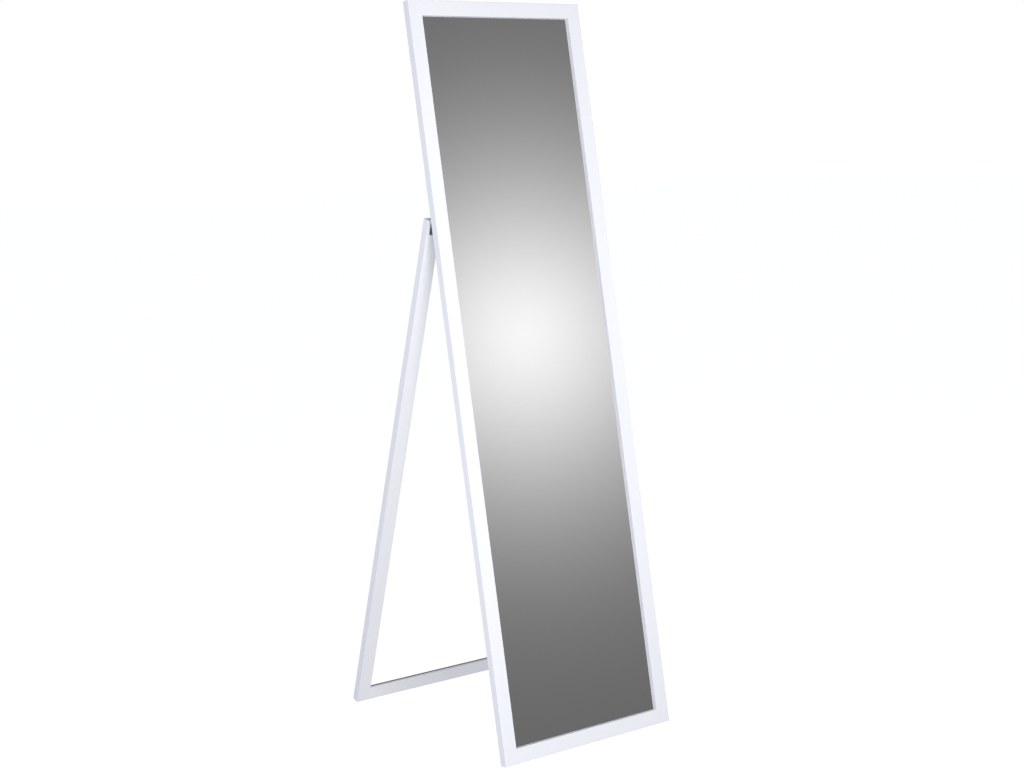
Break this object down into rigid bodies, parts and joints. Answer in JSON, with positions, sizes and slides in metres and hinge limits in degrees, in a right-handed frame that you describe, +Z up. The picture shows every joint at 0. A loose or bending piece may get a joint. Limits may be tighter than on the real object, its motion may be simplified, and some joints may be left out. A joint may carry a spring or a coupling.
{
  "type": "cheval floor mirror",
  "caption": "Tall white-framed floor mirror that leans back on a hinged rectangular rear leg frame, like an easel, and folds flat.",
  "frame": {"origin": "on the floor, midway across the width and midway between the front and back of the open mirror's footprint", "axes": "+Z up; the looking glass faces -Y, leaning back towards +Y; +X to the viewer's right as they face the glass"},
  "size_m": [0.45, 0.6033, 1.5806],
  "materials": {
    "white_paint": "satin white lacquer over fine-grained board",
    "mirror": "clear silvered float glass",
    "faced_board": "white-faced hardboard, bare brown at its edges",
    "hinge_black": "black satin coated steel",
    "zinc_steel": "bright zinc plated steel",
    "point_steel": "bare spring steel strip",
    "key_plastic": "moulded plastic"
  },
  "bodies": {
    "mirror": {"frame_left_stile": "white_paint", "frame_right_stile": "white_paint", "frame_top_rail": "white_paint", "frame_bottom_rail": "white_paint", "mirror_glass": "mirror", "backing_board": "faced_board", "left_stile_point_1": "point_steel", "left_stile_point_2": "point_steel", "left_stile_point_3": "point_steel", "left_stile_point_4": "point_steel", "right_stile_point_1": "point_steel", "right_stile_point_2": "point_steel", "right_stile_point_3": "point_steel", "right_stile_point_4": "point_steel", "top_rail_point_1": "point_steel", "bottom_rail_point_1": "point_steel", "frame_bottom_left_corner_key": "key_plastic", "frame_bottom_right_corner_key": "key_plastic", "frame_top_left_corner_key": "key_plastic", "frame_top_right_corner_key": "key_plastic", "left_hinge_frame_leaf": "hinge_black", "right_hinge_frame_leaf": "hinge_black", "left_hinge_pin": "zinc_steel", "right_hinge_pin": "zinc_steel", "left_hinge_frame_screw_1": "zinc_steel", "left_hinge_frame_screw_2": "zinc_steel", "right_hinge_frame_screw_1": "zinc_steel", "right_hinge_frame_screw_2": "zinc_steel"},
    "leg": {"leg_left_stile": "white_paint", "leg_right_stile": "white_paint", "leg_top_rail": "white_paint", "leg_bottom_rail": "white_paint", "leg_bottom_left_corner_key": "key_plastic", "leg_bottom_right_corner_key": "key_plastic", "leg_top_left_corner_key": "key_plastic", "leg_top_right_corner_key": "key_plastic", "left_hinge_leg_leaf": "hinge_black", "right_hinge_leg_leaf": "hinge_black", "left_hinge_leg_screw_1": "zinc_steel", "left_hinge_leg_screw_2": "zinc_steel", "right_hinge_leg_screw_1": "zinc_steel", "right_hinge_leg_screw_2": "zinc_steel"}
  },
  "joints": [
    {"name": "leg_fold", "type": "hinge", "parent": "mirror", "child": "leg", "pos_m": [0, -0.08958, 1.12698], "axis": [-1, 0, 0], "range_deg": [0, 27.7]}
  ]
}
